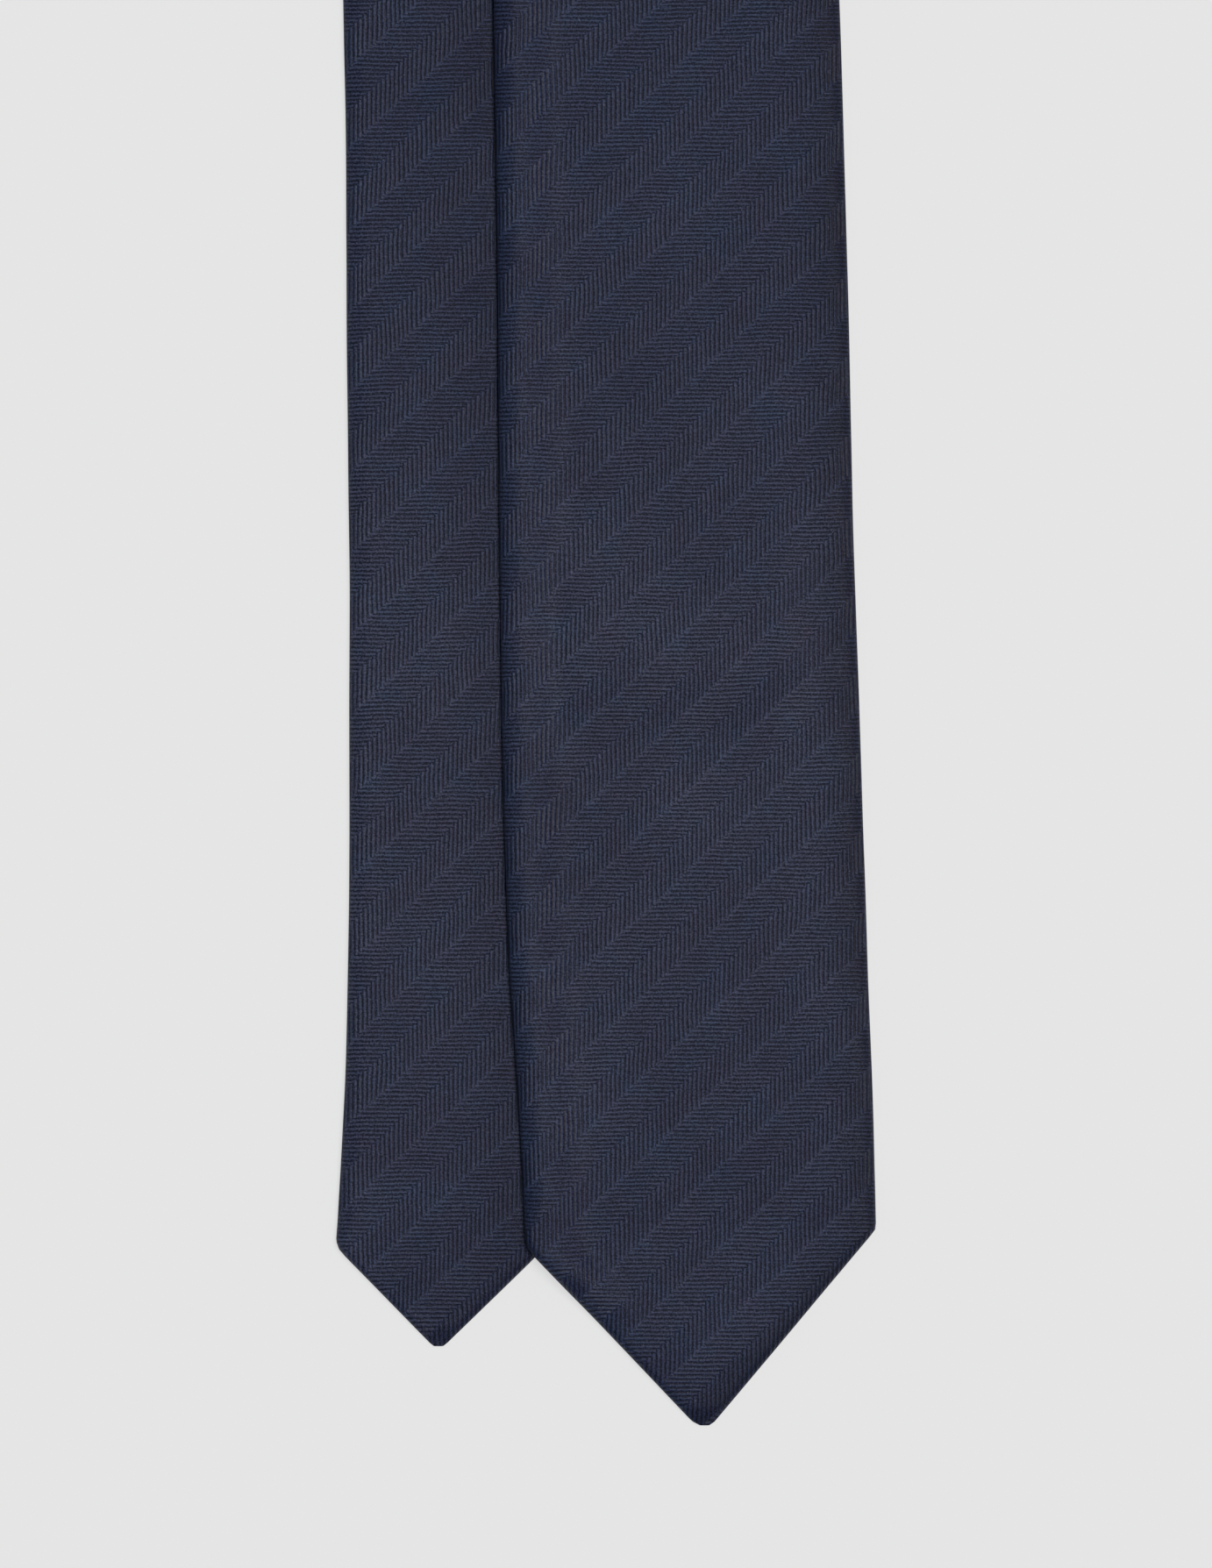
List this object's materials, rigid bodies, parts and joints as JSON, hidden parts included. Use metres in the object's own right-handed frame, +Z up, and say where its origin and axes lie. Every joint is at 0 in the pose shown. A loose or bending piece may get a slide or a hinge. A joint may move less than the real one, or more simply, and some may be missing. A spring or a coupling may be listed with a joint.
{
  "type": "necktie",
  "caption": "Long padded necktie with pointed wide and narrow ends, laid flat with its neck folded twice so both faces show, the wide end over the edge of the narrow one.",
  "frame": {"origin": "on the table, under the middle of the folded tie", "axes": "+Y along the blades from the tips to the neck, +Z up out of the faces, +X towards the wide front blade"},
  "size_m": [0.127, 0.7394, 0.0102],
  "materials": {
    "shell_weave": "navy herringbone weave with a soft dry sheen",
    "neck_weave": "the same navy herringbone weave",
    "interlining_wool": "brushed off-white wool",
    "tipping_satin": "smooth navy satin lining",
    "sewing_thread": "navy silk thread",
    "label_satin": "plain pale woven satin, blank"
  },
  "bodies": {
    "tail_blade": {"tail_shell": "shell_weave", "neck_shell_tail_side": "neck_weave", "tail_interlining": "interlining_wool", "tail_tipping": "tipping_satin", "tail_bar_tack": "sewing_thread", "tail_slip_stitch": "sewing_thread"},
    "neck_band": {"neck_shell": "neck_weave", "neck_interlining": "interlining_wool", "neck_slip_stitch": "sewing_thread"},
    "front_upper": {"front_shell_upper": "shell_weave", "neck_shell_front_side": "neck_weave", "front_interlining_upper": "interlining_wool", "front_slip_stitch_upper": "sewing_thread"},
    "front_lower": {"front_shell_lower": "shell_weave", "front_interlining_lower": "interlining_wool", "front_tipping": "tipping_satin", "front_bar_tack": "sewing_thread", "front_slip_stitch_lower": "sewing_thread", "woven_label": "label_satin", "care_label": "label_satin", "keeper_loop": "shell_weave", "keeper_tack_left": "sewing_thread", "keeper_tack_right": "sewing_thread"}
  },
  "joints": [
    {"name": "tail_neck_fold", "type": "hinge", "parent": "tail_blade", "child": "neck_band", "pos_m": [-0.04545, 0.35175, 0.00335], "axis": [-0.7071, -0.7071, 0], "range_deg": [0, 170]},
    {"name": "front_neck_fold", "type": "hinge", "parent": "neck_band", "child": "front_upper", "pos_m": [0.00955, 0.35175, 0.00685], "axis": [-0.7071, 0.7071, 0], "range_deg": [0, 170]},
    {"name": "front_lift", "type": "hinge", "parent": "front_upper", "child": "front_lower", "pos_m": [0.01505, -0.00975, 0.007], "axis": [-1, 0, 0], "range_deg": [0, 165]}
  ]
}
